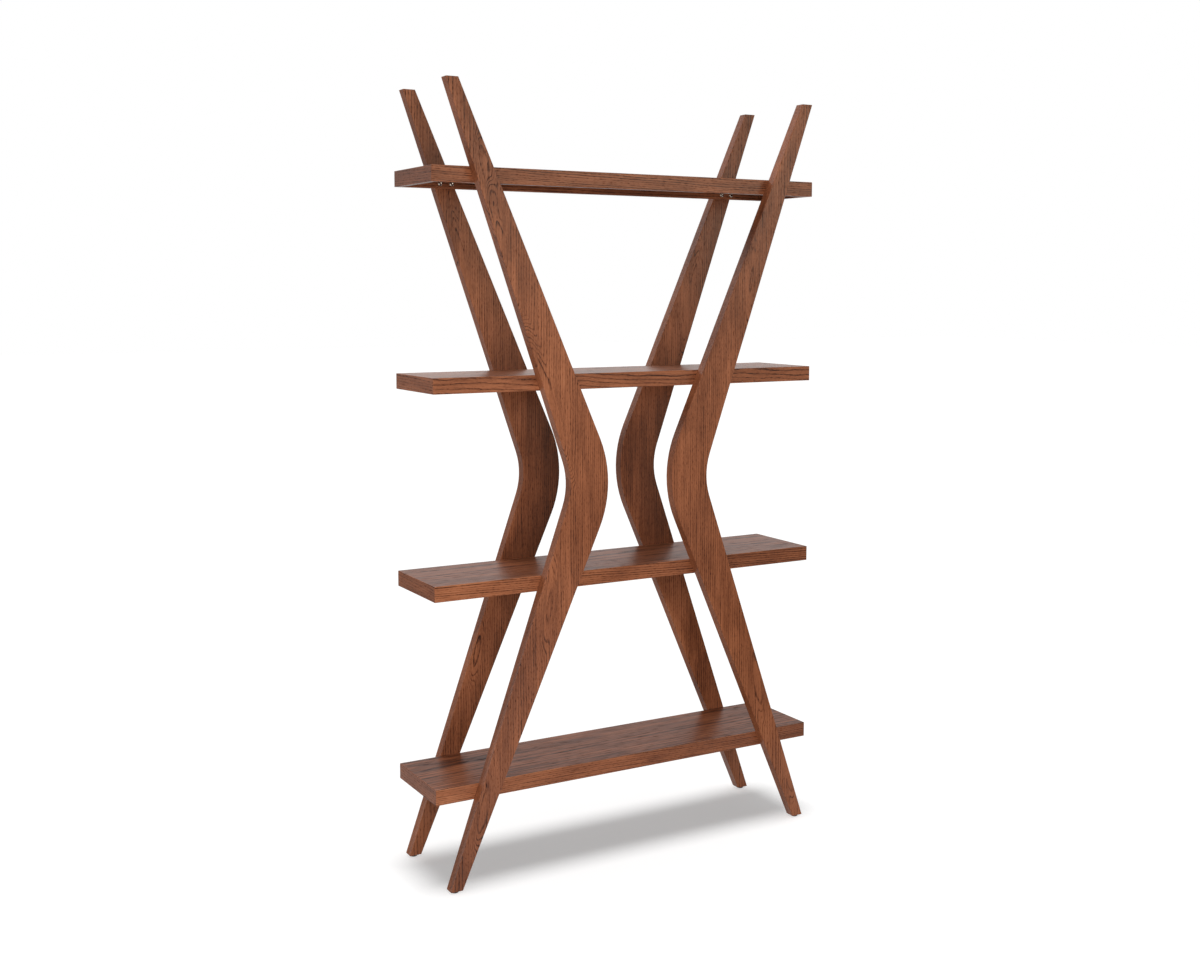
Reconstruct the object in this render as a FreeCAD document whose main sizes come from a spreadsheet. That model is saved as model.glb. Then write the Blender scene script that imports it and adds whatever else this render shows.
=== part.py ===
import FreeCAD, Part
import os
import Sketcher

# Open shelving unit: four hollow shelves bolted between two pairs of boomerang legs.
# The origin is on the floor at the middle of the unit, +X runs along the shelves to the right,
# -Y is the front and +Z is up.

os.makedirs("parts", exist_ok=True)
doc = FreeCAD.newDocument("shelving_unit")

# Driving dimensions, in millimetres
dimensions = {
    # Whole unit
    "overall_height": 2008,
    "bottom_shelf_height": 263,  # floor to the top of the bottom shelf
    "tip_rise": 207.5,  # top of the top shelf to the leg tips
    # Shelves: a panel whose rails are mitred on round its four edges
    "shelf_length": 1150,
    "shelf_depth": 236,
    "shelf_thickness": 40,
    "panel_thickness": 15,
    "rail_thickness": 15,
    # Legs: flat boards whose straight limbs run tangent into a curved waist
    "leg_thickness": 28,
    "tip_inset": 26,  # end of a shelf to the outer corner of a tip or foot
    "tip_width": 33,
    "waist_gap": 196,  # between the waists of a pair of legs
    "waist_width": 111,
    "waist_radius": 286,  # bulging edge of the waist
    "edge_radius": 1.2,  # eased edges of legs and shelves
    # Bolts: two at each crossing of a shelf and a leg
    "bolt_spacing": 32,
    "bolt_diameter": 6,
    "bolt_length": 30,
    "bolt_clearance": 0.5,  # all round the bolt, in rail and washer
    "bolt_chamfer": 0.8,
    "head_diameter": 10.5,
    "head_height": 3.3,
    "head_chamfer": 1,
    "socket_width": 4,  # across the flats of the hexagon
    "socket_depth": 2,
    "washer_diameter": 12,
    "washer_thickness": 1.6,
    # Threaded inserts let into the legs
    "insert_diameter": 10,
    "insert_length": 13,
    "insert_hole_depth": 18,
    "insert_clearance": 0.05,  # all round the insert, in the leg
    "thread_clearance": 0.1,  # all round the bolt, in the insert
    # Glides nailed under the feet
    "glide_diameter": 18,
    "glide_height": 5,
    "glide_chamfer": 0.8,
    "nail_diameter": 2,
    "nail_length": 15,
    "nail_point": 2,
    "nail_head_diameter": 5,
    "nail_head_height": 1,
    "nail_recess": 1.4,  # floor to the seat of the nail's head
    "nail_clearance": 0.05,  # all round the nail
    "nail_tip_gap": 0.5,
    # Drills run past both faces by this much
    "overrun": 1,
}

sheet = doc.addObject("Spreadsheet::Sheet", "dims")
for row, (alias, value) in enumerate(dimensions.items(), start=1):
    sheet.set(f"A{row}", alias)
    sheet.set(f"B{row}", str(value))
    sheet.setAlias(f"B{row}", alias)
doc.recompute()

# Places that follow from the driving dimensions
shelves = ["bottom_shelf", "lower_shelf", "upper_shelf", "top_shelf"]
layout = doc.addObject("App::VarSet", "layout")


def derive(name, expression, kind="App::PropertyFloat"):
    layout.addProperty(kind, name)
    layout.setExpression(name, expression)


def lean(reach, radius):
    # Angle from upright of the line from a tip that runs tangent to the waist
    sideways = f"(layout.{reach} - layout.waist_centre)"
    slant = f"hypot({sideways}; layout.half_height)"
    return f"atan({sideways} / layout.half_height) + asin({radius} / {slant})"


derive("half_height", "(dims.overall_height - dims.glide_height) / 2")
derive("leg_middle", "dims.glide_height + layout.half_height")
derive("tip_outer", "dims.shelf_length / 2 - dims.tip_inset")
derive("tip_inner", "layout.tip_outer - dims.tip_width")
derive("foot_middle", "(layout.tip_outer + layout.tip_inner) / 2")
derive("waist_centre", "dims.waist_gap / 2 + dims.waist_radius")
derive("hollow_radius", "dims.waist_radius - dims.waist_width")
derive("inner_lean", lean("tip_inner", "dims.waist_radius"), "App::PropertyAngle")
derive("outer_lean", lean("tip_outer", "layout.hollow_radius"), "App::PropertyAngle")
derive("recess_depth", "dims.shelf_thickness - dims.panel_thickness")
derive("lowest_base", "dims.bottom_shelf_height - dims.shelf_thickness")
derive("shelf_span", "dims.overall_height - dims.tip_rise - dims.bottom_shelf_height")
derive("shelf_pitch", f"layout.shelf_span / {len(shelves) - 1}")
derive("inner_start", "dims.waist_radius / cos(layout.inner_lean)")
derive("outer_start", "layout.hollow_radius / cos(layout.outer_lean)")
derive("limb_start", "(layout.inner_start + layout.outer_start) / 2")
derive("limb_slope", "(tan(layout.inner_lean) + tan(layout.outer_lean)) / 2")
for level, shelf in enumerate(shelves):
    derive(f"{shelf}_base", f"layout.lowest_base + {level} * layout.shelf_pitch")
    derive(f"{shelf}_bolt_height", f"layout.{shelf}_base + layout.recess_depth / 2")
    # Middle of the leg at the height of the bolts, from the middle of the unit
    climb = f"abs(layout.{shelf}_bolt_height - layout.leg_middle)"
    derive(f"{shelf}_bolt_reach", f"layout.waist_centre - layout.limb_start + {climb} * layout.limb_slope")
doc.recompute()

upright = FreeCAD.Vector(0, 0, 1)
lengthwise = FreeCAD.Vector(1, 0, 0)
left, right = -1, 1
front, rear = -1, 1
subparts = []


def size(expression):
    return float(layout.evalExpression(expression))


def place(item, x="0", y="0", z="0"):
    for axis, expression in zip("xyz", (x, y, z)):
        item.setExpression(f"Placement.Base.{axis}", expression)


def turn_to(item, face):
    # Pieces are drawn for the front of the unit, and half a turn takes them to the rear
    if face == rear:
        item.Placement = FreeCAD.Placement(FreeCAD.Vector(), FreeCAD.Rotation(upright, 180))


def origin_plane(body, role):
    for feature in body.Origin.OriginFeatures:
        if feature.Role == role:
            return feature


def new_sketch(body, name, role):
    sketch = body.newObject("Sketcher::SketchObject", name)
    sketch.AttachmentSupport = [(origin_plane(body, role), "")]
    sketch.MapMode = "FlatFace"
    return sketch


def bind(sketch, kind, points, expression):
    number = sketch.addConstraint(Sketcher.Constraint(kind, *points, size(expression)))
    sketch.setExpression(f"Constraints[{number}]", expression)


def pin(sketch, line, end, x, y):
    # Holds a point at its distances from the sketch's origin
    origin, cross_axis, up_axis, start = -1, -1, -2, 1
    for kind, axis, expression in (("DistanceX", up_axis, x), ("DistanceY", cross_axis, y)):
        if expression == "0":
            sketch.addConstraint(Sketcher.Constraint("PointOnObject", line, end, axis))
        else:
            bind(sketch, kind, (origin, start, line, end), expression)


def outline(sketch, corners):
    # Closed outline of straight lines through corners given as expressions
    points = [FreeCAD.Vector(size(x), size(y), 0) for x, y in corners]
    lines = []
    for begin, finish in zip(points, points[1:] + points[:1]):
        lines.append(sketch.addGeometry(Part.LineSegment(begin, finish)))
    for line, following in zip(lines, lines[1:] + lines[:1]):
        sketch.addConstraint(Sketcher.Constraint("Coincident", line, 2, following, 1))
    for line, (x, y) in zip(lines, corners):
        pin(sketch, line, 1, x, y)


def pad(body, sketch, length):
    feature = body.newObject("PartDesign::Pad", "pad")
    feature.Profile = sketch
    feature.setExpression("Length", length)
    return feature


def pocket(body, sketch, depth):
    # Cuts along the sketch's normal, and makes sure that it cuts something
    doc.recompute()
    before = body.Shape.Volume
    feature = body.newObject("PartDesign::Pocket", "pocket")
    feature.Profile = sketch
    feature.Reversed = True
    feature.setExpression("Length", depth)
    doc.recompute()
    if body.Shape.Volume >= before:
        raise RuntimeError(f"{body.Label}: a pocket cut nothing")


def ease_edges(body, feature):
    doc.recompute()
    fillet = body.newObject("PartDesign::Fillet", "eased_edges")
    fillet.Base = (feature, ["Edge1"])
    fillet.UseAllEdges = True
    fillet.setExpression("Radius", "dims.edge_radius")


def turned_body(name, role, corners):
    # Half section turned about the sketch's upright axis
    body = doc.addObject("PartDesign::Body", name)
    sketch = new_sketch(body, f"{name}_section", role)
    outline(sketch, corners)
    revolution = body.newObject("PartDesign::Revolution", f"{name}_turning")
    revolution.Profile = sketch
    revolution.ReferenceAxis = (sketch, ["V_Axis"])
    revolution.Angle = 360
    return body


# Legs


def leg_outline(sketch, side):
    top = size("dims.overall_height")
    bottom = size("dims.glide_height")
    middle = size("layout.leg_middle")
    centre = FreeCAD.Vector(side * size("layout.waist_centre"), middle, 0)

    def limb_joint(radius, angle, end):
        # Where a limb meets the waist: end is 1 for the upper limb and -1 for the lower
        rotation = FreeCAD.Rotation(upright, -side * end * size(angle))
        return centre + rotation.multVec(FreeCAD.Vector(-side * size(radius), 0, 0))

    def waist_arc(radius, angle):
        low = limb_joint(radius, angle, -1)
        high = limb_joint(radius, angle, 1)
        crown = centre + FreeCAD.Vector(-side * size(radius), 0, 0)
        return sketch.addGeometry(Part.Arc(low, crown, high)), low, high

    def line(begin, finish):
        return sketch.addGeometry(Part.LineSegment(begin, finish))

    inner_tip = FreeCAD.Vector(side * size("layout.tip_inner"), top, 0)
    outer_tip = FreeCAD.Vector(side * size("layout.tip_outer"), top, 0)
    inner_foot = FreeCAD.Vector(inner_tip.x, bottom, 0)
    outer_foot = FreeCAD.Vector(outer_tip.x, bottom, 0)
    bulge, inner_low, inner_high = waist_arc("dims.waist_radius", "layout.inner_lean")
    hollow, outer_low, outer_high = waist_arc("layout.hollow_radius", "layout.outer_lean")
    tip = line(outer_tip, inner_tip)
    inner_upper = line(inner_tip, inner_high)
    inner_lower = line(inner_low, inner_foot)
    foot = line(inner_foot, outer_foot)
    outer_lower = line(outer_foot, outer_low)
    outer_upper = line(outer_high, outer_tip)

    # Arcs run anticlockwise, so the two hands of leg have their arcs' ends the other way round
    low_end, high_end = (1, 2) if side == left else (2, 1)
    for first, second in ((tip, inner_upper), (inner_lower, foot), (foot, outer_lower), (outer_upper, tip)):
        sketch.addConstraint(Sketcher.Constraint("Coincident", first, 2, second, 1))
    sketch.addConstraint(Sketcher.Constraint("Tangent", inner_upper, 2, bulge, high_end))
    sketch.addConstraint(Sketcher.Constraint("Tangent", inner_lower, 1, bulge, low_end))
    sketch.addConstraint(Sketcher.Constraint("Tangent", outer_lower, 2, hollow, low_end))
    sketch.addConstraint(Sketcher.Constraint("Tangent", outer_upper, 1, hollow, high_end))
    sketch.addConstraint(Sketcher.Constraint("Coincident", bulge, 3, hollow, 3))
    pin(sketch, bulge, 3, f"{side} * layout.waist_centre", "layout.leg_middle")
    bind(sketch, "Radius", (bulge,), "dims.waist_radius")
    bind(sketch, "Radius", (hollow,), "layout.hollow_radius")
    pin(sketch, tip, 1, f"{side} * layout.tip_outer", "dims.overall_height")
    pin(sketch, tip, 2, f"{side} * layout.tip_inner", "dims.overall_height")
    pin(sketch, foot, 1, f"{side} * layout.tip_inner", "dims.glide_height")
    pin(sketch, foot, 2, f"{side} * layout.tip_outer", "dims.glide_height")


def hole(sketch, x, y, radius):
    middle = FreeCAD.Vector(size(x), size(y), 0)
    circle = sketch.addGeometry(Part.Circle(middle, upright, size(radius)))
    pin(sketch, circle, 3, x, y)
    bind(sketch, "Radius", (circle,), radius)


def bolt_reach(side, shelf, spot):
    # How far a bolt is along the shelf from the middle of the unit
    return f"{side} * layout.{shelf}_bolt_reach + {spot} * dims.bolt_spacing / 2"


def make_leg(label, side, face):
    # Drawn against the front of the shelves: the side changes hands when it is turned to the rear
    drawn_side = side if face == front else -side
    body = doc.addObject("PartDesign::Body", label)
    board = new_sketch(body, f"{label}_board", "XZ_Plane")
    leg_outline(board, drawn_side)
    ease_edges(body, pad(body, board, "dims.leg_thickness"))

    insert_holes = new_sketch(body, f"{label}_insert_holes", "XZ_Plane")
    for shelf in shelves:
        for spot in (left, right):
            radius = "dims.insert_diameter / 2 + dims.insert_clearance"
            hole(insert_holes, bolt_reach(drawn_side, shelf, spot), f"layout.{shelf}_bolt_height", radius)
    pocket(body, insert_holes, "dims.insert_hole_depth")

    nail_hole = new_sketch(body, f"{label}_nail_hole", "XY_Plane")
    nail_hole.setExpression("AttachmentOffset.Base.z", "dims.glide_height")
    radius = "dims.nail_diameter / 2 + dims.nail_clearance"
    hole(nail_hole, f"{drawn_side} * layout.foot_middle", "-dims.leg_thickness / 2", radius)
    pocket(body, nail_hole, "dims.nail_recess + dims.nail_length - dims.glide_height + dims.nail_tip_gap")

    turn_to(body, face)
    place(body, y=f"{face} * dims.shelf_depth / 2")
    subparts.append(body)


make_leg("front_left_leg", left, front)
make_leg("front_right_leg", right, front)
make_leg("rear_left_leg", left, rear)
make_leg("rear_right_leg", right, rear)

# Shelves, drawn with their undersides at z = 0 and then lifted to their heights

blank = doc.addObject("PartDesign::Body", "shelf_blank")
blank_sketch = new_sketch(blank, "shelf_plan", "XY_Plane")
half_length, half_depth = "dims.shelf_length / 2", "dims.shelf_depth / 2"
outline(
    blank_sketch,
    [
        (f"-{half_length}", f"-{half_depth}"),
        (half_length, f"-{half_depth}"),
        (half_length, half_depth),
        (f"-{half_length}", half_depth),
    ],
)
ease_edges(blank, pad(blank, blank_sketch, "dims.shelf_thickness"))


def mitred_block(name, thickness, outer, inner):
    # Runs from an outer rectangle at y = 0 to an inner one: each is (low x, high x, low z, high z)
    block = doc.addObject("Part::Wedge", name)
    block.setExpression("Ymax", thickness)
    block.Ymin = 0
    for prop, expression in zip(("Xmin", "Xmax", "Zmin", "Zmax"), outer):
        block.setExpression(prop, expression)
    for prop, expression in zip(("X2min", "X2max", "Z2min", "Z2max"), inner):
        block.setExpression(prop, expression)
    return block


def eased(name, block):
    piece = doc.addObject("Part::Common", name)
    piece.Base = block
    piece.Tool = blank
    return piece


inner_length = "(dims.shelf_length / 2 - dims.rail_thickness)"
inner_depth = "(dims.shelf_depth / 2 - dims.rail_thickness)"

panel_block = mitred_block(
    "panel_block",
    "dims.panel_thickness",
    (f"-{half_length}", half_length, f"-{half_depth}", half_depth),
    (f"-{inner_length}", inner_length, f"-{inner_depth}", inner_depth),
)
panel_block.Placement.Rotation = FreeCAD.Rotation(lengthwise, -90)
place(panel_block, z="dims.shelf_thickness")

rail_block = mitred_block(
    "rail_block",
    "dims.rail_thickness",
    (f"-{half_length}", half_length, "0", "dims.shelf_thickness"),
    (f"-{inner_length}", inner_length, "0", "layout.recess_depth"),
)
place(rail_block, y=f"-{half_depth}")
rail_stock = eased("rail_stock", rail_block)

end_block = mitred_block(
    "end_block",
    "dims.rail_thickness",
    (f"-{half_depth}", half_depth, "0", "dims.shelf_thickness"),
    (f"-{inner_depth}", inner_depth, "0", "layout.recess_depth"),
)
end_block.Placement.Rotation = FreeCAD.Rotation(upright, -90)
place(end_block, x=f"-{half_length}")


def finish_shelf_piece(piece, shelf, face=front):
    turn_to(piece, face)
    place(piece, z=f"layout.{shelf}_base")
    subparts.append(piece)


hole_radius = "dims.bolt_diameter / 2 + dims.bolt_clearance"


def bolt_drills(shelf):
    pieces = []
    for side in (left, right):
        for spot in (left, right):
            drill = doc.addObject("Part::Cylinder", f"{shelf}_drill")
            drill.setExpression("Radius", hole_radius)
            drill.setExpression("Height", "dims.rail_thickness + 2 * dims.overrun")
            drill.Placement.Rotation = FreeCAD.Rotation(lengthwise, -90)
            reach = bolt_reach(side, shelf, spot)
            place(drill, reach, "-dims.shelf_depth / 2 - dims.overrun", "layout.recess_depth / 2")
            pieces.append(drill)
    drills = doc.addObject("Part::Compound", f"{shelf}_drills")
    drills.Links = pieces
    return drills


def make_shelf(shelf):
    finish_shelf_piece(eased(f"{shelf}_panel", panel_block), shelf)
    finish_shelf_piece(eased(f"{shelf}_left_rail", end_block), shelf)
    finish_shelf_piece(eased(f"{shelf}_right_rail", end_block), shelf, rear)
    drills = bolt_drills(shelf)
    for label, face in (("front", front), ("rear", rear)):
        rail = doc.addObject("Part::Cut", f"{shelf}_{label}_rail")
        rail.Base = rail_stock
        rail.Tool = drills
        finish_shelf_piece(rail, shelf, face)


for shelf in shelves:
    make_shelf(shelf)

# Fasteners, drawn once along Y with the head end towards +Y, then set in groups

bolt_radius = "dims.bolt_diameter / 2"
head_radius = "dims.head_diameter / 2"
bolt = turned_body(
    "bolt",
    "XY_Plane",
    [
        ("0", "-dims.bolt_length"),
        (f"{bolt_radius} - dims.bolt_chamfer", "-dims.bolt_length"),
        (bolt_radius, "dims.bolt_chamfer - dims.bolt_length"),
        (bolt_radius, "0"),
        (head_radius, "0"),
        (head_radius, "dims.head_height - dims.head_chamfer"),
        (f"{head_radius} - dims.head_chamfer", "dims.head_height"),
        ("0", "dims.head_height"),
    ],
)
socket = new_sketch(bolt, "bolt_socket", "XZ_Plane")
socket.setExpression("AttachmentOffset.Base.z", "-dims.head_height")
socket_sides = 6
socket_corner = f"dims.socket_width / 2 / cos(180 / {socket_sides})"
socket_corners = []
for number in range(socket_sides):
    turn = f"{number} * 360 / {socket_sides} + 180 / {socket_sides}"
    socket_corners.append((f"{socket_corner} * sin({turn})", f"{socket_corner} * cos({turn})"))
outline(socket, socket_corners)
pocket(bolt, socket, "dims.socket_depth")

washer_radius = "dims.washer_diameter / 2"
washer = turned_body(
    "washer",
    "XY_Plane",
    [
        (hole_radius, "0"),
        (washer_radius, "0"),
        (washer_radius, "dims.washer_thickness"),
        (hole_radius, "dims.washer_thickness"),
    ],
)

thread_radius = "dims.bolt_diameter / 2 + dims.thread_clearance"
insert_radius = "dims.insert_diameter / 2"
insert = turned_body(
    "insert",
    "XY_Plane",
    [
        (thread_radius, "-dims.insert_length"),
        (insert_radius, "-dims.insert_length"),
        (insert_radius, "0"),
        (thread_radius, "0"),
    ],
)


def copy_of(original, name):
    link = doc.addObject("App::Link", name)
    link.LinkedObject = original
    return link


def group(label, pieces):
    compound = doc.addObject("Part::Compound", label)
    compound.Links = pieces
    subparts.append(compound)


def fasten(label, original, shelf, depth):
    # Sets one fastener at each bolt of a shelf, at a depth from the unit's middle plane
    pieces = []
    for face in (front, rear):
        for side in (left, right):
            for spot in (left, right):
                piece = copy_of(original, f"{label}_copy")
                turn_to(piece, face)
                reach = bolt_reach(side, shelf, spot)
                place(piece, reach, f"{face} * ({depth})", f"layout.{shelf}_bolt_height")
                pieces.append(piece)
    group(label, pieces)


rail_inside = "dims.shelf_depth / 2 - dims.rail_thickness"
for shelf in shelves:
    fasten(f"{shelf}_bolts", bolt, shelf, f"{rail_inside} - dims.washer_thickness")
    fasten(f"{shelf}_washers", washer, shelf, rail_inside)
    fasten(f"{shelf}_inserts", insert, shelf, "dims.shelf_depth / 2")

# Glides under the feet, each held by a nail whose head is let in above the floor

glide_radius = "dims.glide_diameter / 2"
nail_radius = "dims.nail_diameter / 2"
nail_head_radius = "dims.nail_head_diameter / 2"
glide_section = [
    (f"{nail_head_radius} + dims.nail_clearance", "0"),
    (f"{glide_radius} - dims.glide_chamfer", "0"),
    (glide_radius, "dims.glide_chamfer"),
    (glide_radius, "dims.glide_height"),
    (f"{nail_radius} + dims.nail_clearance", "dims.glide_height"),
    (f"{nail_radius} + dims.nail_clearance", "dims.nail_recess"),
    (f"{nail_head_radius} + dims.nail_clearance", "dims.nail_recess"),
]
nail = turned_body(
    "nail",
    "XZ_Plane",
    [
        ("0", "dims.nail_recess - dims.nail_head_height"),
        (nail_head_radius, "dims.nail_recess - dims.nail_head_height"),
        (nail_head_radius, "dims.nail_recess"),
        (nail_radius, "dims.nail_recess"),
        (nail_radius, "dims.nail_recess + dims.nail_length - dims.nail_point"),
        ("0", "dims.nail_recess + dims.nail_length"),
    ],
)
nails = []
for face_name, face in (("front", front), ("rear", rear)):
    for side_name, side in (("left", left), ("right", right)):
        foot_x = f"{side} * layout.foot_middle"
        foot_y = f"{face} * (dims.shelf_depth + dims.leg_thickness) / 2"
        glide = turned_body(f"{face_name}_{side_name}_glide", "XZ_Plane", glide_section)
        place(glide, foot_x, foot_y)
        subparts.append(glide)
        foot_nail = copy_of(nail, "foot_nail")
        place(foot_nail, foot_x, foot_y)
        nails.append(foot_nail)
group("glide_nails", nails)

# Every feature has to be sound before anything is written

doc.recompute()
for item in doc.Objects:
    if "Invalid" in item.State or "Error" in item.State:
        raise RuntimeError(f"{item.Label} failed: {item.State}")
for piece in subparts:
    if piece.Shape.isNull() or not piece.Shape.isValid():
        raise RuntimeError(f"{piece.Label} has no sound shape")
for piece in subparts:
    piece.Shape.exportStep(os.path.join("parts", f"{piece.Label}.step"))
    print(piece.Label, len(piece.Shape.Solids), round(piece.Shape.Volume))
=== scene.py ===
import bpy
import math
from mathutils import Euler, Matrix, Vector

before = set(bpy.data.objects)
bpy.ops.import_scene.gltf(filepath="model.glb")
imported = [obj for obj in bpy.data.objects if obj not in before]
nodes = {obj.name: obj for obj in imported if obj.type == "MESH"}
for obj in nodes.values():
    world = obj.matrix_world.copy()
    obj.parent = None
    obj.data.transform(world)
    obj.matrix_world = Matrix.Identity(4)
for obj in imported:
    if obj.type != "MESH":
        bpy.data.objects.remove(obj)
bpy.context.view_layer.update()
scene = bpy.context.scene
mm = 0.001  # the frame is in metres
print("frame loaded,", len(nodes), "pieces")


def linear(hexColour):  # sRGB hex to the linear values that shaders take
    channels = [int(hexColour[i:i + 2], 16) / 255 for i in (1, 3, 5)]
    return [c / 12.92 if c < 0.04045 else ((c + 0.055) / 1.055) ** 2.4 for c in channels] + [1.0]


def addNode(tree, kind, inputs=None, **settings):  # one node with its settings, values and links
    node = tree.nodes.new("ShaderNode" + kind)
    for setting, value in settings.items():
        setattr(node, setting, value)
    for socket, value in (inputs or {}).items():
        if isinstance(value, bpy.types.NodeSocket):
            tree.links.new(value, node.inputs[socket])
        else:
            node.inputs[socket].default_value = value
    return node


def newMaterial(name):
    material = bpy.data.materials.new(name)
    material.use_nodes = True
    return material, material.node_tree, material.node_tree.nodes["Principled BSDF"]


def dress(node, material):  # the CAD piece keeps its shape and gets a real finish
    nodes[node].data.materials.clear()
    nodes[node].data.materials.append(material)


# Oak, planed and sanded, stained brown and sprayed with a thin satin lacquer.
# The eye sees dark lines where the open spring pores drank the stain, paler summer wood
# between them, and a soft shine that the pores break up.
oakLook = {
    "stain": [(0.00, "#b0724f"), (0.30, "#93593b"), (0.62, "#6f3f28"), (1.00, "#351b12")],
    "ringWidth": 4.0,              # mm, one year of growth
    "ringDark": 0.42,
    "ringFade": (0.1, 1.0),        # palest and darkest year
    "season": (0.12, 0.46),        # share of a year when the pores are widest, and when they have closed
    "figure": 0.12,                # how much stronger the rings stand out in a swirl
    "eyeRim": 0.6,                 # share of a swirl over which its rings join the others
    "broken": (0.2, 1.6),          # the palest and darkest dashes of a ring, which is a row of pores
    "brokenSize": (2.2, 16.0),     # mm
    "wander": 6.0,                 # mm, how far the rings stray from true
    "wanderSize": (110.0, 640.0),  # mm, across and along the grain, as all sizes here
    "poreSize": (1.8, 10.0),       # mm, real pores are 0.3 wide, drawn wider to show
    "poreLimits": (0.50, 0.70),    # share of the noise where a pore starts and is deepest
    "poreDark": 0.38,
    "summerPores": 0.35,           # share of the pores that stay open in summer wood
    "streakSize": (2.0, 120.0),    # mm, rows of pores that run together into fine lines
    "streakDark": 0.26,
    "blotchSize": (36.0, 150.0),   # mm, where the wood took more or less stain
    "blotchDark": 0.22,
    "staves": (0, 0, 0),           # the way in which a board is glued up from staves
    "staveWidth": 96.0,            # mm
    "staveDark": 0.08,
    "staveShift": 40.0,            # mm, how far the rings jump from stave to stave
    "tone": 0.10,
    "satin": 0.36,                 # roughness of the lacquer
    "poreRough": 0.2,
    "shine": 0.08,                 # a thin lacquer in open grain gives back less than a hard gloss
    "poreShine": 0.02,             # the lacquer sinks into the pores
    "poreDepth": 0.12,             # mm
    "poreBump": 0.5,               # share of that depth which the lacquer leaves open
    "wearWidth": 1.6,              # mm, along the edges, where the stain was rubbed thin
    "wearTurn": (0.97, 0.72),      # how level an edge still is where the wear starts, and where it is full
    "wear": 0.22,
}
noiseSpan = (0.3, 0.7)  # where nearly all values of a noise lie
edgeSamples = 4  # rays that feel for an edge
grainTurn = {"X": (0, 90, 0), "Y": (-90, 0, 0), "Z": (0, 0, 0)}  # degrees, local z follows the grain


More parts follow.
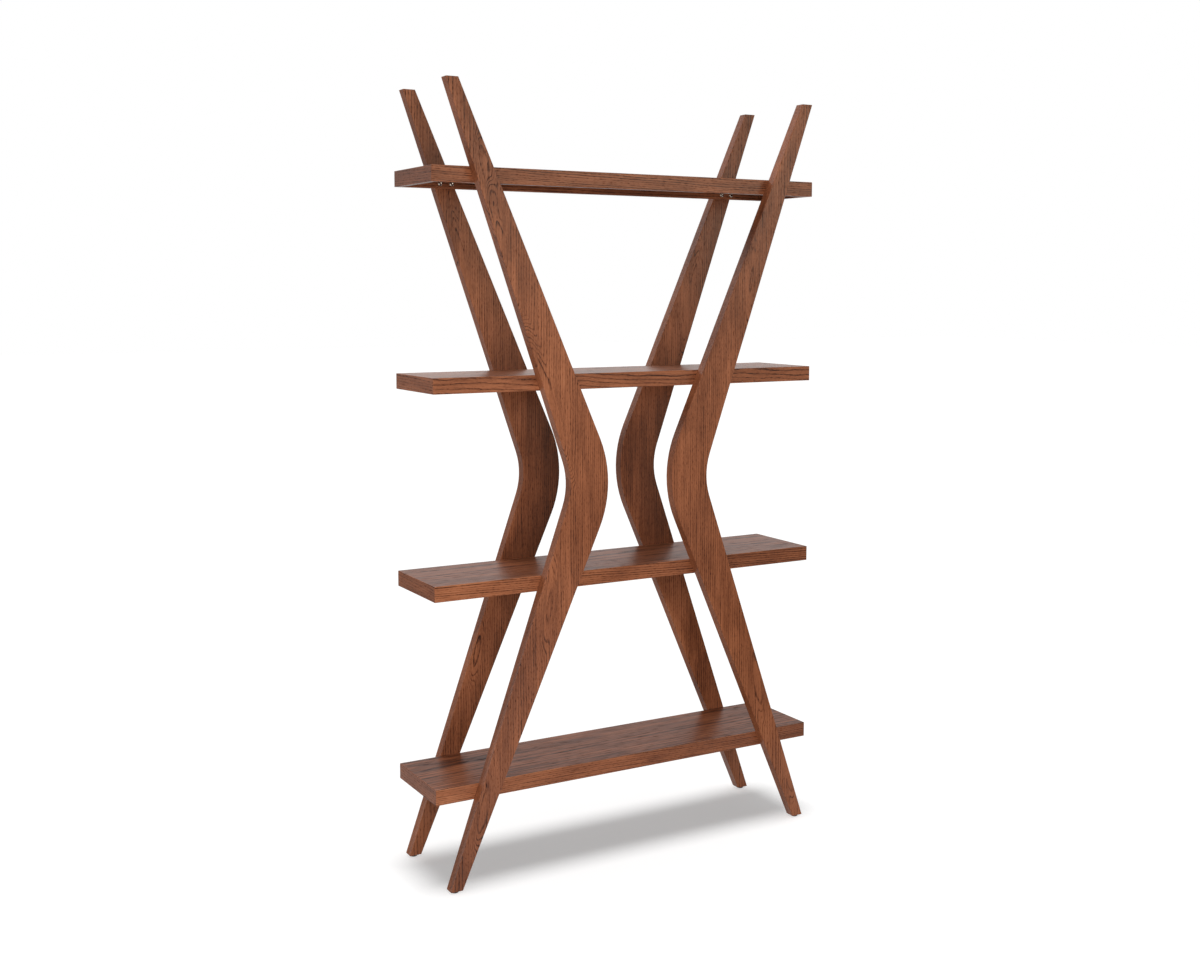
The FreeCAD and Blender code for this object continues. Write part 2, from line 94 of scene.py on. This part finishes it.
def stainedOak(name, board):
    look = {**oakLook, **board}
    material, tree, shader = newMaterial(name)
    seed = look["seed"]

    def grainNoise(source, size, detail):  # noise drawn out along the grain
        across, along = (1 / (length * mm) for length in size)
        spot = addNode(tree, "Mapping", {"Vector": source, "Scale": (across, across, along),
                                         "Location": (seed, seed, 0)})
        return addNode(tree, "TexNoise", {"Vector": spot.outputs[0], "Scale": 1.0, "Detail": detail})

    def stretched(size, detail, low=0.0, high=1.0):  # bent grain noise, drawn out to a full span
        noise = grainNoise(bent, size, detail).outputs["Fac"]
        return addNode(tree, "MapRange", {"Value": noise, "From Min": noiseSpan[0],
                                          "From Max": noiseSpan[1], "To Min": low,
                                          "To Max": high}).outputs[0]

    def hill(spot):  # 1 at the middle of an egg-shaped place and 0 at its rim
        near = addNode(tree, "Mapping", {"Vector": place, "Location": [v * mm for v in spot["at"]],
                                         "Rotation": (0, math.radians(spot.get("tilt", 0)), 0),
                                         "Scale": [v * mm for v in spot["size"]]}, vector_type="TEXTURE")
        egg = addNode(tree, "TexGradient", {"Vector": near.outputs[0]}, gradient_type="SPHERICAL")
        return egg.outputs["Fac"]

    def fromHeart(spot):  # radius of the ring that passes through a place
        across = Euler(turn).to_matrix().inverted() @ (Vector(spot) - Vector(look["heart"]))
        return across.xy.length * mm

    place = addNode(tree, "TexCoord").outputs["Object"]
    turn = [math.radians(a + b) for a, b in zip(grainTurn[look["grain"]], look.get("lean", (0, 0, 0)))]
    heart = [v * mm for v in look["heart"]]
    trunk = addNode(tree, "Mapping", {"Vector": place, "Location": heart, "Rotation": turn},
                    vector_type="TEXTURE").outputs[0]  # z runs along the heart of the tree

    # year rings round the heart, bent a little as the tree grew
    drift = grainNoise(trunk, look["wanderSize"], 4.0).outputs["Color"]
    stray = addNode(tree, "VectorMath", {0: drift, 1: (0.5, 0.5, 0.5)}, operation="SUBTRACT")
    bend = look["wander"] * mm * 2  # the noise strays by half to each side
    bent = addNode(tree, "VectorMath", {0: stray.outputs[0], 1: (bend, bend, 0), 2: trunk},
                   operation="MULTIPLY_ADD").outputs[0]
    level = addNode(tree, "VectorMath", {0: bent, 1: (1, 1, 0)}, operation="MULTIPLY")
    radius = addNode(tree, "VectorMath", {0: level.outputs[0]}, operation="LENGTH").outputs["Value"]
    figure = 0.0
    for eye in look.get("eyes", ()):  # a swirl, where the rings close round the place of a branch
        swell = hill(eye)
        pull = addNode(tree, "MapRange", {"Value": swell, "From Max": look["eyeRim"]},
                       interpolation_type="SMOOTHSTEP").outputs[0]
        swirlDepth = eye["rings"] * look["ringWidth"] * mm
        swirl = addNode(tree, "Math", {0: swell, 1: swirlDepth, 2: fromHeart(eye["at"])},
                        operation="MULTIPLY_ADD")
        change = addNode(tree, "Math", {0: swirl.outputs[0], 1: radius}, operation="SUBTRACT")
        radius = addNode(tree, "Math", {0: pull, 1: change.outputs[0], 2: radius},
                         operation="MULTIPLY_ADD").outputs[0]
        figure = addNode(tree, "Math", {0: pull, 1: eye.get("figure", look["figure"]), 2: figure},
                         operation="MULTIPLY_ADD").outputs[0]
    flat = addNode(tree, "VectorMath", {0: trunk, 1: look["staves"], 2: (seed, seed, seed)},
                   operation="MULTIPLY_ADD")
    strip = addNode(tree, "VectorMath", {0: flat.outputs[0], 1: (look["staveWidth"] * mm,) * 3},
                    operation="SNAP")
    stave = addNode(tree, "TexWhiteNoise", {"Vector": strip.outputs[0]}, noise_dimensions="3D")
    radius = addNode(tree, "Math", {0: stave.outputs["Value"], 1: look["staveShift"] * mm, 2: radius},
                     operation="MULTIPLY_ADD").outputs[0]
    years = addNode(tree, "Math", {0: radius, 1: 1 / (look["ringWidth"] * mm)},
                    operation="MULTIPLY").outputs[0]
    year = addNode(tree, "Math", {0: years}, operation="FLOOR")
    season = addNode(tree, "Math", {0: years}, operation="FRACT").outputs[0]
    mood = addNode(tree, "TexWhiteNoise", {"W": year.outputs[0]}, noise_dimensions="1D")
    wide, closed = look["season"]
    spring = addNode(tree, "MapRange", {"Value": season, "From Max": wide}, interpolation_type="SMOOTHSTEP")
    summer = addNode(tree, "MapRange", {"Value": season, "From Min": wide, "From Max": closed,
                                        "To Min": 1.0, "To Max": 0.0}, interpolation_type="SMOOTHSTEP")
    porous = addNode(tree, "Math", {0: spring.outputs[0], 1: summer.outputs[0]},
                     operation="MULTIPLY").outputs[0]
    fade = addNode(tree, "MapRange", {"Value": mood.outputs["Value"], "To Min": look["ringFade"][0],
                                      "To Max": look["ringFade"][1]})
    strength = addNode(tree, "Math", {0: fade.outputs[0], 1: figure}, operation="ADD")
    line = addNode(tree, "Math", {0: porous, 1: strength.outputs[0]}, operation="MULTIPLY")
    dashes = stretched(look["brokenSize"], 1.0, *look["broken"])
    ring = addNode(tree, "Math", {0: line.outputs[0], 1: dashes}, operation="MULTIPLY")

    # pores, the fine lines they join into, and the uneven take of the stain
    pore = addNode(tree, "MapRange", {"Value": grainNoise(bent, look["poreSize"], 1.0).outputs["Fac"],
                                      "From Min": look["poreLimits"][0], "From Max": look["poreLimits"][1]},
                   interpolation_type="SMOOTHSTEP")
    openGrain = addNode(tree, "MapRange", {"Value": porous, "To Min": look["summerPores"]})
    pit = addNode(tree, "Math", {0: pore.outputs[0], 1: openGrain.outputs[0]},
                  operation="MULTIPLY").outputs[0]
    streak = stretched(look["streakSize"], 2.0)
    blotch = stretched(look["blotchSize"], 2.0)

    # edges rubbed paler by hands and cloths
    rounded = addNode(tree, "Bevel", {"Radius": look["wearWidth"] * mm}, samples=edgeSamples)
    face = addNode(tree, "NewGeometry")
    flatness = addNode(tree, "VectorMath", {0: rounded.outputs[0], 1: face.outputs["Normal"]},
                       operation="DOT_PRODUCT").outputs["Value"]
    rubbed = addNode(tree, "MapRange", {"Value": flatness, "From Min": look["wearTurn"][0],
                                        "From Max": look["wearTurn"][1], "To Max": -look["wear"]})

    tone = look["tone"]
    for patch in look.get("patches", ()):  # a place made darker or paler: mostly painted shade and light that the lamps leave out, and in places stain that took unevenly
        tone = addNode(tree, "Math", {0: hill(patch), 1: patch["dark"], 2: tone},
                       operation="MULTIPLY_ADD").outputs[0]
    tone = addNode(tree, "Math", {0: rubbed.outputs[0], 1: tone}, operation="ADD").outputs[0]
    for pattern, share in ((ring.outputs[0], "ringDark"), (pit, "poreDark"), (streak, "streakDark"),
                           (blotch, "blotchDark"), (stave.outputs["Value"], "staveDark")):
        tone = addNode(tree, "Math", {0: pattern, 1: look[share], 2: tone},
                       operation="MULTIPLY_ADD").outputs[0]
    stain = addNode(tree, "ValToRGB", {"Fac": tone})
    ramp = stain.color_ramp
    while len(ramp.elements) < len(look["stain"]):
        ramp.elements.new(0.5)  # moved to its place below
    for stop, (position, colour) in zip(ramp.elements, look["stain"]):
        stop.position = position
        stop.color = linear(colour)

    gloss = addNode(tree, "MapRange", {"Value": pit, "To Min": look["satin"],
                                       "To Max": look["satin"] + look["poreRough"]})
    shine = look["shine"]
    for sheen in look.get("sheens", ()):  # a place where the lacquer lies thicker or thinner
        shine = addNode(tree, "Math", {0: hill(sheen), 1: sheen["shine"], 2: shine},
                        operation="MULTIPLY_ADD").outputs[0]
    film = addNode(tree, "MapRange", {"Value": pit, "To Min": shine, "To Max": look["poreShine"]})
    bump = addNode(tree, "Bump", {"Height": pit, "Distance": look["poreDepth"] * mm,
                                  "Strength": look["poreBump"]}, invert=True)
    tree.links.new(stain.outputs["Color"], shader.inputs["Base Color"])
    tree.links.new(gloss.outputs[0], shader.inputs["Roughness"])
    tree.links.new(bump.outputs[0], shader.inputs["Normal"])
    tree.links.new(film.outputs[0], shader.inputs["Specular IOR Level"])
    return material


sideLightSpread = {"off": 58, "across": 80, "deep": 60}  # mm, painted light and shade on a leg's side, which fades out on the faces


def sideLightAndShade(x, y, z, length, tilt, dark):  # a stretch of a leg's left side, painted darker where a shelf shades it and paler where the light falls on it
    return {"at": (x - sideLightSpread["off"], y, z), "tilt": tilt, "dark": dark,
            "size": (sideLightSpread["across"], sideLightSpread["deep"], length)}


# legs: the grain runs straight up, so it leaves the sloping edges at a slant; the patches on them are
# mostly painted shade and light, with some uneven stain
legBoards = {
    "front_left_leg": {
        "heart": (-950, -1100, 1000), "lean": (0.3, 0.3, 0), "seed": 3.1,
        "eyes": [
            {"at": (-450, -146, 1810), "size": (24, 90, 90), "tilt": -12, "rings": 1.5, "figure": 0.4},
            {"at": (-424, -146, 1710), "size": (30, 90, 85), "tilt": -8, "rings": 3, "figure": 0.5},
            {"at": (-406, -146, 1625), "size": (20, 90, 90), "tilt": -12, "rings": 1.5, "figure": 0.4},
            {"at": (-275, -146, 1230), "size": (34, 90, 260), "tilt": -20, "rings": 1.5, "figure": 0.25},
            {"at": (-270, -146, 700), "size": (26, 90, 150), "tilt": 8, "rings": 1.5},
            {"at": (-458, -146, 200), "size": (24, 90, 120), "tilt": 14, "rings": 1.5, "figure": 0.25},
        ],
        "patches": [
            {"at": (-520, -146, 60), "size": (260, 200, 320), "dark": 0.16},
            {"at": (-420, -146, 400), "size": (200, 200, 300), "dark": 0.14},
            {"at": (-310, -146, 640), "size": (200, 200, 220), "dark": 0.11},
            {"at": (-210, -146, 930), "size": (220, 200, 260), "dark": 0.12},
            {"at": (-500, -146, 1930), "size": (240, 200, 270), "dark": 0.18},
            {"at": (-420, -146, 1700), "size": (300, 200, 560), "dark": 0.16},
            sideLightAndShade(-513, -132, 1905, 200, -19, -0.6),
            sideLightAndShade(-420, -132, 1640, 200, -19, -0.6),
        ],
        "sheens": [{"at": (-480, -190, 250), "size": (800, 60, 1100), "shine": 0.68}],
    },
    "front_right_leg": {
        "heart": (950, -1100, 900), "lean": (-0.3, 0.3, 0), "seed": 7.7,
        "eyes": [
            {"at": (350, -146, 1530), "size": (22, 90, 160), "tilt": 8, "rings": 1.5},
            {"at": (385, -146, 420), "size": (24, 90, 150), "tilt": -12, "rings": 1.5},
            {"at": (500, -146, 130), "size": (20, 90, 110), "tilt": -14, "rings": 1.5, "figure": 0.25},
        ],
        "patches": [
            {"at": (480, -146, 180), "size": (260, 200, 400), "dark": -0.03},
            {"at": (330, -146, 600), "size": (220, 200, 260), "dark": 0.05},
            {"at": (210, -146, 960), "size": (200, 200, 300), "dark": 0.03},
            {"at": (400, -146, 1720), "size": (400, 200, 560), "dark": 0.15},
            {"at": (520, -146, 1930), "size": (240, 200, 270), "dark": 0.10},
            sideLightAndShade(471, -132, 1905, 200, 24, -0.8),
            sideLightAndShade(358, -132, 1660, 170, 24, 0.7),
            sideLightAndShade(246, -132, 1400, 150, 24, 0.6),
            sideLightAndShade(144, -132, 1170, 110, 24, 0.7),
            sideLightAndShade(138, -132, 850, 110, -24, 0.5),
            sideLightAndShade(249, -132, 600, 150, -24, -0.6),
        ],
        "sheens": [
            {"at": (530, -146, 60), "size": (200, 200, 260), "shine": 0.15},
            {"at": (330, -146, 560), "size": (260, 200, 380), "shine": -0.06},
        ],
    },
    "rear_left_leg": {
        "heart": (-950, 1000, 1000), "lean": (0.3, -0.3, 0), "seed": 12.4,
        "eyes": [
            {"at": (-350, 118, 535), "size": (24, 90, 120), "tilt": 12, "rings": 2, "figure": 0.35},
            {"at": (-385, 118, 1560), "size": (20, 90, 220), "tilt": -12, "rings": 1.5, "figure": 0.25},
        ],
        "patches": [
            {"at": (-400, 118, 420), "size": (300, 200, 420), "dark": 0.15},
            # painted shadow of the front leg across the waist
            {"at": (-100, 118, 1050), "size": (150, 200, 480), "dark": 0.31},
            {"at": (-230, 118, 850), "size": (140, 200, 200), "dark": 0.26},
            {"at": (-470, 118, 1900), "size": (300, 200, 480), "dark": 0.17},
            sideLightAndShade(-383, 132, 480, 260, 19, -0.4),
            sideLightAndShade(-240, 132, 880, 200, 19, -0.6),
        ],
        "sheens": [
            {"at": (-530, 74, 60), "size": (400, 60, 420), "shine": 0.45},
            {"at": (-450, 118, 1780), "size": (300, 200, 480), "shine": -0.02},
        ],
    },
    "rear_right_leg": {
        "heart": (950, 1000, 1100), "lean": (-0.3, -0.3, 0), "seed": 17.9,
        "eyes": [{"at": (330, 118, 1480), "size": (20, 90, 200), "tilt": 12, "rings": 1.5}],
        "patches": [
            {"at": (390, 118, 360), "size": (220, 200, 280), "dark": 0.15},
            # painted shadow of the front leg across the waist
            {"at": (240, 118, 950), "size": (150, 200, 420), "dark": 0.30},
            {"at": (130, 118, 1000), "size": (160, 200, 330), "dark": 0.12},
            {"at": (330, 118, 620), "size": (200, 200, 240), "dark": 0.05},
            {"at": (420, 118, 1720), "size": (400, 200, 560), "dark": 0.14},
            {"at": (520, 118, 1930), "size": (240, 200, 270), "dark": 0.10},
            sideLightAndShade(470, 132, 1905, 200, 24, -0.4),
            sideLightAndShade(110, 132, 900, 160, -24, -0.6),
            sideLightAndShade(305, 132, 480, 260, -24, -0.8),
        ],
        "sheens": [
            {"at": (530, 118, 60), "size": (200, 200, 260), "shine": 0.11},
            {"at": (360, 118, 480), "size": (260, 200, 380), "shine": -0.07},
        ],
    },
}
for name, board in legBoards.items():
    dress(name, stainedOak("stainedOakSatin." + name, {"grain": "Z", "staves": (1, 0, 0), **board}))
print("legs dressed")

# shelves: a panel and four lips each, the grain along the length of each piece
shelfBoards = {
    "bottom_shelf": {
        "seed": 23.0, "height": 243, "panel": {"tone": 0.12, "shine": 0.11},
        "left": {"shine": 0.09, "tone": 0.21},
        "front": {"ringWidth": 2.8, "ringDark": 0.75, "tone": 0.08, "shine": 0.18},
        # the front rail painted paler at the left end, near the key lamp, and darker at the right: a
        # painted fall-off of the light
        "frontPatches": [{"at": (-560, -118, 243), "size": (500, 200, 200), "dark": -0.12},
                         {"at": (600, -118, 243), "size": (700, 200, 200), "dark": 0.18}],
    },
    "lower_shelf": {
        "seed": 31.0, "height": 755, "panel": {"tone": 0.07, "shine": 0.14},
        "left": {"shine": 0.03, "tone": 0.13},
        "front": {"ringWidth": 3.2, "ringDark": 0.9, "tone": 0.07},
        # the front rail painted paler at the left end, near the key lamp, and darker at the right: a
        # painted fall-off of the light
        "frontPatches": [{"at": (-560, -118, 755), "size": (500, 200, 200), "dark": -0.12},
                         {"at": (600, -118, 755), "size": (700, 200, 200), "dark": 0.20}],
    },
    "upper_shelf": {
        "seed": 41.0, "height": 1268, "panel": {"tone": -0.05, "shine": 0.35},
        "left": {"shine": 0.05},
        "front": {"ringWidth": 6.5, "ringDark": 0.9, "ringFade": (0.3, 1.0), "broken": (0.5, 1.3),
                  "wander": 12.0, "wanderSize": (70.0, 260.0), "season": (0.1, 0.36), "tone": 0.14},
        "frontPatches": [],
    },
    "top_shelf": {
        "seed": 53.0, "height": 1780, "panel": {},
        "left": {"shine": 0.09, "tone": 0.34},
        "front": {"ringWidth": 3.0, "ringDark": 0.8, "tone": 0.23},
        "frontPatches": [],
    },
}
panelLook = {  # the panels are seen so flat that only a coarse grain shows
    "ringWidth": 8.0, "ringDark": 0.8, "broken": (0.4, 1.4), "brokenSize": (4.0, 60.0),
    "poreSize": (3.0, 36.0), "poreDark": 0.4, "streakSize": (4.0, 220.0), "streakDark": 0.5,
}
lipRecessShade = {  # sizes in mm, painted shade on the inner sides of the lips, in the recess under each panel
    "long": {"size": (1400, 26, 80), "dark": 0.5},
    "short": {"size": (26, 300, 80), "dark": 0.5},
}
for shelf, board in shelfBoards.items():
    z, seed = board["height"], board["seed"]
    pieces = {
        "panel": {"grain": "X", "heart": (0, 60, z - 160), "lean": (0, 0.5, 0.4), "seed": seed,
                  "staves": (0, 1, 0), **panelLook, **board["panel"]},
        "front_rail": {"grain": "X", "heart": (0, -250, z + 90), "lean": (0, 0.7, 0.5), "seed": seed + 1.3,
                       "patches": [{"at": (0, -90, z), **lipRecessShade["long"]}, *board["frontPatches"]],
                       **board["front"]},
        "rear_rail": {"grain": "X", "heart": (0, 240, z - 90), "lean": (0, -0.6, 0.5), "seed": seed + 2.9,
                      "patches": [{"at": (0, 90, z), **lipRecessShade["long"]}]},
        "left_rail": {"grain": "Y", "heart": (-700, 0, z + 90), "lean": (0.7, 0, 0.5), "seed": seed + 4.1,
                      "patches": [{"at": (-547, 0, z), **lipRecessShade["short"]}], **board["left"]},
        "right_rail": {"grain": "Y", "heart": (700, 0, z - 80), "lean": (0.7, 0, -0.5), "seed": seed + 5.3,
                       "patches": [{"at": (547, 0, z), **lipRecessShade["short"]}]},
    }
    for piece, grain in pieces.items():
        dress(shelf + "_" + piece, stainedOak("stainedOakSatin." + shelf + "_" + piece, grain))
print("shelves dressed")

# bolts, washers, inserts, glides and nails, with grit in mm, drawn coarser than it is to show
fittingLook = {
    # turned smooth and plated: bright, with small sharp glints on the round of the heads
    "zincPlatedSteelTurned": {"colour": ("#968e86", "#c4bbb2"), "rough": (0.07, 0.16), "grit": 0.8,
                              "metal": 1.0, "ending": "_bolts"},
    # stamped and plated: the same metal, darker and with a softer shine
    "zincPlatedSteelStamped": {"colour": ("#756d66", "#a0978f"), "rough": (0.12, 0.26), "grit": 0.8,
                               "metal": 1.0, "ending": "_washers"},
    # drawn wire, left bare: plain grey and half dull
    "drawnSteelWire": {"colour": ("#8f9092", "#b4b6b8"), "rough": (0.22, 0.4), "grit": 0.8,
                       "metal": 1.0, "ending": "_nails"},
    # turned brass, left bare: a warm yellow with a soft shine
    "turnedBrass": {"colour": ("#b58b3c", "#d9b566"), "rough": (0.2, 0.36), "grit": 0.6,
                    "metal": 1.0, "ending": "_inserts"},
    # moulded plastic: black, with the dull skin of the mould
    "mouldedBlackPolyethylene": {"colour": ("#101011", "#1e1e20"), "rough": (0.42, 0.6), "grit": 0.7,
                                 "metal": 0.0, "ending": "_glide"},
}


def fittingFinish(name, look):
    material, tree, shader = newMaterial(name)
    place = addNode(tree, "TexCoord").outputs["Object"]
    grit = addNode(tree, "TexNoise", {"Vector": place, "Scale": 1 / (look["grit"] * mm),
                                      "Detail": 3.0}).outputs["Fac"]
    low, high = (linear(c) for c in look["colour"])
    colour = addNode(tree, "Mix", {0: grit, 6: low, 7: high}, data_type="RGBA")  # 6 and 7 take the colours
    rough = addNode(tree, "MapRange", {"Value": grit, "To Min": look["rough"][0],
                                       "To Max": look["rough"][1]})
    tree.links.new(colour.outputs[2], shader.inputs["Base Color"])
    tree.links.new(rough.outputs[0], shader.inputs["Roughness"])
    shader.inputs["Metallic"].default_value = look["metal"]
    return material


for name, look in fittingLook.items():
    finish = fittingFinish(name, look)
    for node in nodes:
        if node.endswith(look["ending"]):
            dress(node, finish)
print("fittings dressed")

# studio: a white paper floor and room, soft boxes for the unit and a wide wash for the floor
studio = {
    "floorSize": 60.0,           # m
    "floorColour": "#e7e7e7",    # as the camera and gloss see it
    "bounceColour": "#b3b3b3",   # as the unit sees it, since the far floor of a studio lies in shade
    "floorLift": 0.27,           # brings the open floor up to white and leaves the shadow grey
    "ambient": 0.37,
}
lamps = {  # place and aim in m, strength as the brightness of a white card that faces the lamp
    "keyBox": {"kind": "AREA", "place": (-1.1, -2.6, 1.2), "aim": (0, 0, 1.05), "size": (1.4, 2.0),
               "strength": 0.68, "lights": "unit"},
    "sideBox": {"kind": "SUN", "place": (-2.4, -0.6, 2.0), "aim": (0, 0, 0), "angle": 40,
                "strength": 0.26, "lights": "unit"},
    "backBox": {"kind": "SUN", "place": (0, 1.5, 2.6), "aim": (0, 0, 0), "angle": 40,
                "strength": 0.26, "lights": "unit"},
    "glossCard": {"kind": "AREA", "place": (1.9, -3.3, 2.15), "aim": (0, 0, 1.6), "size": (3.2, 1.0),
                  "strength": 0.80, "colour": "#fffbe4", "lights": "unit", "glossOnly": True},
    "rimCard": {"kind": "SUN", "place": (-0.81, 1.57, 0.94), "aim": (0, 0, 0), "angle": 30,
                "strength": 0.19, "lights": "unit", "glossOnly": True},
    "floorWash": {"kind": "SUN", "place": (-0.1, -0.05, 3), "aim": (0, 0, 0), "angle": 29,
                  "strength": 0.66, "lights": "floor"},
}


def seenShare(tree):  # 1 for the camera, gloss and glass, 0 for light on its way to the unit
    path = addNode(tree, "LightPath")
    share = path.outputs["Is Camera Ray"]
    for ray in ("Is Glossy Ray", "Is Transmission Ray"):
        share = addNode(tree, "Math", {0: share, 1: path.outputs[ray]}, operation="MAXIMUM").outputs[0]
    return share


half = studio["floorSize"] / 2
corners = [(-half, -half, 0), (half, -half, 0), (half, half, 0), (-half, half, 0)]
floorMesh = bpy.data.meshes.new("floor")
floorMesh.from_pydata(corners, [], [(0, 1, 2, 3)])
floor = bpy.data.objects.new("floor", floorMesh)
scene.collection.objects.link(floor)
paper, tree, shader = newMaterial("whitePaperRolled")  # rolled out flat: an even white without shine
seen = seenShare(tree)
lift = addNode(tree, "Math", {0: seen, 1: studio["floorLift"]}, operation="MULTIPLY")
sheet = addNode(tree, "Mix", {0: seen, 6: linear(studio["bounceColour"]), 7: linear(studio["floorColour"])},
                data_type="RGBA")
tree.links.new(sheet.outputs[2], shader.inputs["Base Color"])
shader.inputs["Roughness"].default_value = 1.0
shader.inputs["Specular IOR Level"].default_value = 0.0
shader.inputs["Emission Color"].default_value = (1, 1, 1, 1)
tree.links.new(lift.outputs[0], shader.inputs["Emission Strength"])
under = addNode(tree, "NewGeometry").outputs["Backfacing"]  # clear from below, to show the undersides
clear = addNode(tree, "BsdfTransparent")
oneSided = addNode(tree, "MixShader", {0: under, 1: shader.outputs[0], 2: clear.outputs[0]})
tree.links.new(oneSided.outputs[0], tree.nodes["Material Output"].inputs["Surface"])
floorMesh.materials.append(paper)

world = bpy.data.worlds.new("studio")
scene.world = world
world.use_nodes = True
tree = world.node_tree
room = addNode(tree, "MapRange", {"Value": seenShare(tree), "To Min": studio["ambient"]})
background = tree.nodes["Background"]
background.inputs["Color"].default_value = (1, 1, 1, 1)
tree.links.new(room.outputs[0], background.inputs["Strength"])

groups = {name: bpy.data.collections.new(name) for name in ("unit", "floor", "shadowCasters")}
groups["floor"].objects.link(floor)
for name, node in nodes.items():
    groups["unit"].objects.link(node)
    if name.startswith("bottom_shelf") or name.endswith("_glide"):
        groups["shadowCasters"].objects.link(node)  # the shadows of higher pieces are too faint to see
for name, setting in lamps.items():
    lamp = bpy.data.lights.new(name, setting["kind"])
    reach = Vector(setting["aim"]) - Vector(setting["place"])
    lamp.color = linear(setting.get("colour", "#ffffff"))[:3]
    lamp.energy = setting["strength"] * math.pi
    if setting["kind"] == "AREA":
        lamp.shape = "RECTANGLE"
        lamp.size, lamp.size_y = setting["size"]
        lamp.energy *= math.pi * reach.length_squared  # watts for that brightness at the aim
    else:
        lamp.angle = math.radians(setting["angle"])
    box = bpy.data.objects.new(name, lamp)
    scene.collection.objects.link(box)
    box.location = setting["place"]
    box.rotation_euler = reach.to_track_quat("-Z", "Y").to_euler()
    box.visible_diffuse = not setting.get("glossOnly", False)
    box.light_linking.receiver_collection = groups[setting["lights"]]
    if setting["lights"] == "floor":
        box.light_linking.blocker_collection = groups["shadowCasters"]
print("studio lit")

# camera, solved from the shelf edges in the photograph, in m, degrees and mm
cameraLook = {"place": (-1.951, -3.280, 1.506), "turn": -29.395, "tilt": 4.868, "roll": 0.074,
              "lens": 42.615, "sensor": 36.0, "shift": (0.0175, -0.0591)}
camera = bpy.data.cameras.new("camera")
camera.sensor_width = cameraLook["sensor"]
camera.sensor_fit = "HORIZONTAL"
camera.lens = cameraLook["lens"]
camera.shift_x, camera.shift_y = cameraLook["shift"]
cameraObject = bpy.data.objects.new("camera", camera)
scene.collection.objects.link(cameraObject)
aim = Euler((math.radians(90 - cameraLook["tilt"]), 0, math.radians(cameraLook["turn"])))
roll = Matrix.Rotation(math.radians(cameraLook["roll"]), 4, "Z")
cameraObject.matrix_world = Matrix.Translation(cameraLook["place"]) @ aim.to_matrix().to_4x4() @ roll
scene.camera = cameraObject
scene.view_settings.view_transform = "Standard"
print("camera set")
